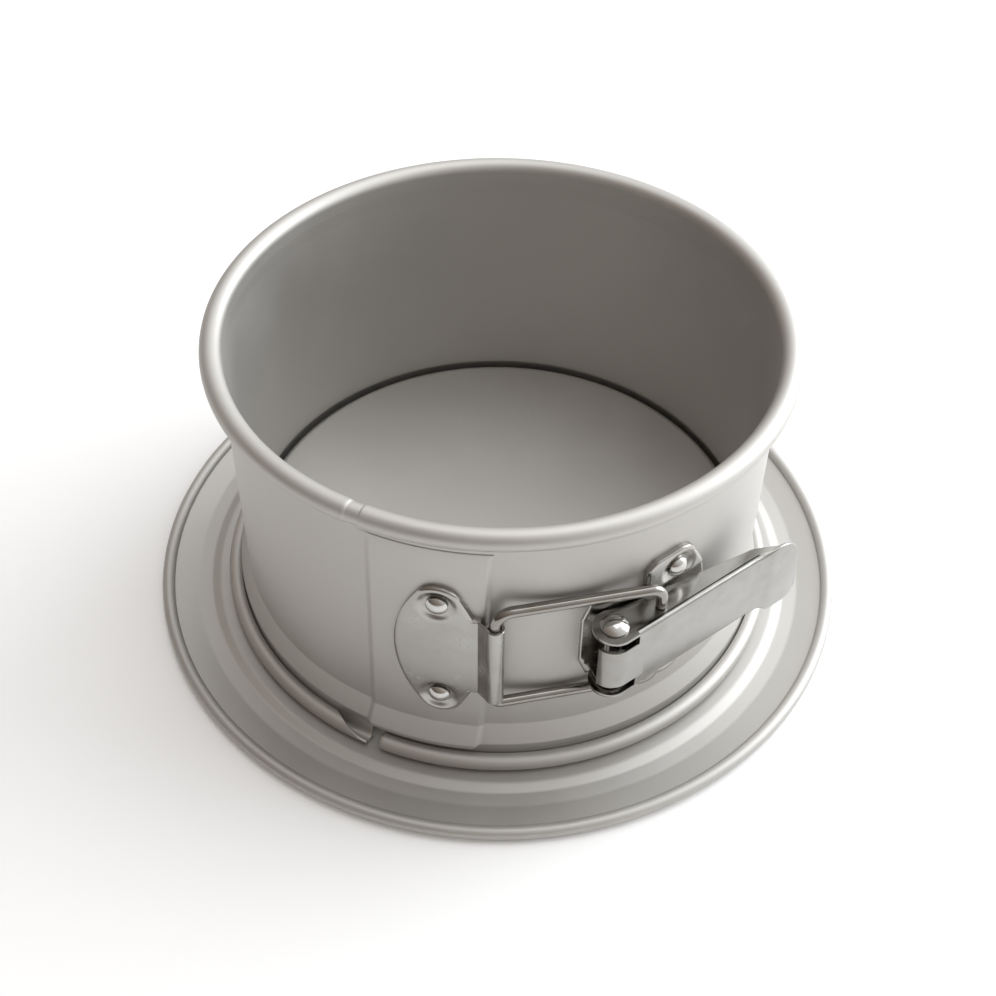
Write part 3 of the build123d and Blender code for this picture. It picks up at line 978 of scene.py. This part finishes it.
def flange_rows(low, high):
    """Level slab rows of one flange, as columns from its back edge to the web."""
    xs = list(LEVER_ROUND * np.cos(np.radians(np.linspace(180, 92, 16))))
    xs += [0.3, 1.5, NOTCH - 0.02, NOTCH + 0.02]
    xs += list(steps(FLANGE_BACK_CUT, PADDLE_START, 1.5))
    xs += list(steps(PADDLE_START, FLANGE_END - 0.1, 0.5))[1:]
    web = np.array(web_line())
    columns = []
    for x in xs:
        circle = sqrt(max(0.0, LEVER_ROUND**2 - min(abs(x), LEVER_ROUND) ** 2))
        back = -circle if x < FLANGE_BACK_CUT else flange_back(x)
        if x <= 0:
            top = circle
        elif x < NOTCH:
            top = LEVER_ROUND
        else:
            top = float(np.interp(x, web[:, 0], web[:, 1])) - 0.35
        if x > FLANGE_END - 0.2:
            back = top - 0.1
        columns.append((x, back, max(top, back + 0.02)))
    rows = []
    for x, back, top in columns:
        soft = min(FLANGE_EDGE, (top - back) / 4)
        ring = [
            (back, low + FLANGE_EDGE),
            (back, high - FLANGE_EDGE),
            (back + soft, high),
            (top - soft, high),
            (top, high - FLANGE_EDGE),
            (top, low + FLANGE_EDGE),
            (top - soft, low),
            (back + soft, low),
        ]
        rows.append([lever_point(x, y, z) for y, z in ring])
    return rows


def build_lever():
    shell = Shell()
    path = np.array(web_line())
    tip = path[-1][0]
    corner_zone = [tip - HIGH_CORNER * (1 - sin(t)) for t in np.linspace(0, pi / 2 * 0.985, 22)]
    xs = [x for x in path[:, 0] if x < tip - HIGH_CORNER] + corner_zone
    side = normals_of(path)
    channel = channel_section()
    rows = []
    for x in xs:
        middle = np.interp(x, path[:, 0], path[:, 1])
        normal = np.array([np.interp(x, path[:, 0], side[:, 0]), np.interp(x, path[:, 0], side[:, 1])])
        high = paddle_width(x, PADDLE_HIGH, HIGH_CORNER, tip)
        low = paddle_width(x, PADDLE_LOW, LOW_CORNER, tip)
        flat = flat_section(high, low)
        section = channel + (flat - channel) * smooth((x - FLAT_FROM) / (FLAT_TO - FLAT_FROM))
        slant = smooth((x - tip + 9) / 9)
        rows.append([
            lever_point(x + normal[0] * y - slant * TIP_SLANT * (z + PADDLE_LOW), middle + normal[1] * y, z)
            for z, y in section
        ])
    shell.grid(rows)

    line = LEVER_ROUND - 0.485
    tongue_line = [(NOTCH + 7, line - 0.045), (NOTCH, line)] + arc((0, 0), line, 90, 171, 28)
    soft = 0.18
    ribbon = []
    for z, inset in (
        (-TONGUE_HALF, soft),
        (soft - TONGUE_HALF, 0),
        (TONGUE_HALF - soft, 0),
        (TONGUE_HALF, soft),
    ):
        loop = sheet_loop(tongue_line, LEVER_SHEET / 2 - inset)
        ribbon.append([lever_point(x, y, z) for x, y in loop])
    shell.grid(ribbon)

    for low in (-LEVER_HALF, LEVER_HALF - LEVER_SHEET):
        shell.grid(flange_rows(low, low + LEVER_SHEET))
    shell.make("lever_channel", "lever", ["lever"], LEVER_METAL)


build_base()
build_band_right()
build_band_left()
build_band_back()
build_keeper()
build_bracket()
build_rivets()
build_bail()
build_lever()


# ------------------------------------------------------------------ camera, floor and light

# The camera's distance is in millimetres and its angles in degrees. The turns are a small pan,
# tilt and roll away from looking straight at the origin.
CAMERA_ELEVATION = 47.77
CAMERA_DISTANCE = 463.3
CAMERA_TURNS = (-0.04, -2.20, -0.93)
CAMERA_LENS = 52.57
FLOOR_GLOW = 0.05


def build_camera():
    """The camera looks down at the front of the pan from a little under half a metre away."""
    elevation = radians(CAMERA_ELEVATION)
    back = np.array([0, -cos(elevation), sin(elevation)])
    right = np.array([1.0, 0, 0])
    level = np.stack([right, np.cross(back, right), back])
    pan, tilt, roll = (radians(a) for a in CAMERA_TURNS)
    turn_pan = np.array([[cos(pan), 0, sin(pan)], [0, 1, 0], [-sin(pan), 0, cos(pan)]])
    turn_tilt = np.array([[1, 0, 0], [0, cos(tilt), -sin(tilt)], [0, sin(tilt), cos(tilt)]])
    turn_roll = np.array([[cos(roll), -sin(roll), 0], [sin(roll), cos(roll), 0], [0, 0, 1]])
    view = turn_roll @ turn_tilt @ turn_pan @ level
    camera = bpy.data.objects.new("camera", bpy.data.cameras.new("camera"))
    place = Matrix.Translation(Vector(back * CAMERA_DISTANCE * MM))
    camera.matrix_world = place @ Matrix(view.T.tolist()).to_4x4()
    camera.data.sensor_width = 36.0
    camera.data.lens = CAMERA_LENS
    camera.data.clip_start = 0.01
    bpy.context.scene.collection.objects.link(camera)
    bpy.context.scene.camera = camera


def area_light(name, place, target, size, power, colour=(1, 1, 1)):
    light = bpy.data.lights.new(name, "AREA")
    light.shape = "RECTANGLE"
    light.size, light.size_y = size
    light.energy = power
    light.color = colour
    obj = bpy.data.objects.new(name, light)
    obj.location = place
    obj.rotation_euler = (Vector(target) - Vector(place)).to_track_quat("-Z", "Y").to_euler()
    bpy.context.scene.collection.objects.link(obj)


def build_stage():
    mesh = bpy.data.meshes.new("floor")
    mesh.from_pydata([(-3, -3, 0), (3, -3, 0), (3, 3, 0), (-3, 3, 0)], [], [(0, 1, 2, 3)])
    floor = bpy.data.objects.new("floor", mesh)
    bpy.context.scene.collection.objects.link(floor)
    material, nodes, links, shader = new_material("pale_floor")
    shader.inputs["Base Color"].default_value = (0.93, 0.93, 0.93, 1)
    shader.inputs["Roughness"].default_value = 0.6
    shader.inputs["Emission Color"].default_value = (1, 1, 1, 1)
    shader.inputs["Emission Strength"].default_value = FLOOR_GLOW
    mesh.materials.append(material)

    build_world()
    area_light("window", (0.98, 0.40, 0.55), (0, 0, 0.04), (1.3, 1.0), 14, (0.95, 1.0, 1.03))
    area_light("overhead", (0.25, 0.25, 1.30), (0, 0, 0), (1.2, 1.2), 5)
    bpy.context.scene.view_settings.view_transform = "Standard"


def build_world():
    """A room that is bright on the window's side and falls to a warm dark on the other."""
    world = bpy.data.worlds.new("studio")
    world.use_nodes = True
    nodes = world.node_tree.nodes
    links = world.node_tree.links
    aim = nodes.new("ShaderNodeVectorMath")
    aim.operation = "DOT_PRODUCT"
    aim.inputs[1].default_value = Vector((0.70, 0.36, 0.60)).normalized()
    links.new(nodes.new("ShaderNodeTexCoord").outputs["Generated"], aim.inputs[0])
    ramp = nodes.new("ShaderNodeValToRGB")
    ramp.color_ramp.elements[0].color = (0.080, 0.062, 0.050, 1)
    ramp.color_ramp.elements[1].color = (1.15, 1.18, 1.20, 1)
    middle = ramp.color_ramp.elements.new(0.5)
    middle.color = (0.42, 0.365, 0.32, 1)
    links.new(add_range(nodes, links, aim.outputs["Value"], 0, 1, -0.9, 0.95), ramp.inputs["Fac"])
    links.new(ramp.outputs["Color"], nodes["Background"].inputs["Color"])
    nodes["Background"].inputs["Strength"].default_value = 1.0
    bpy.context.scene.world = world


build_camera()
build_stage()
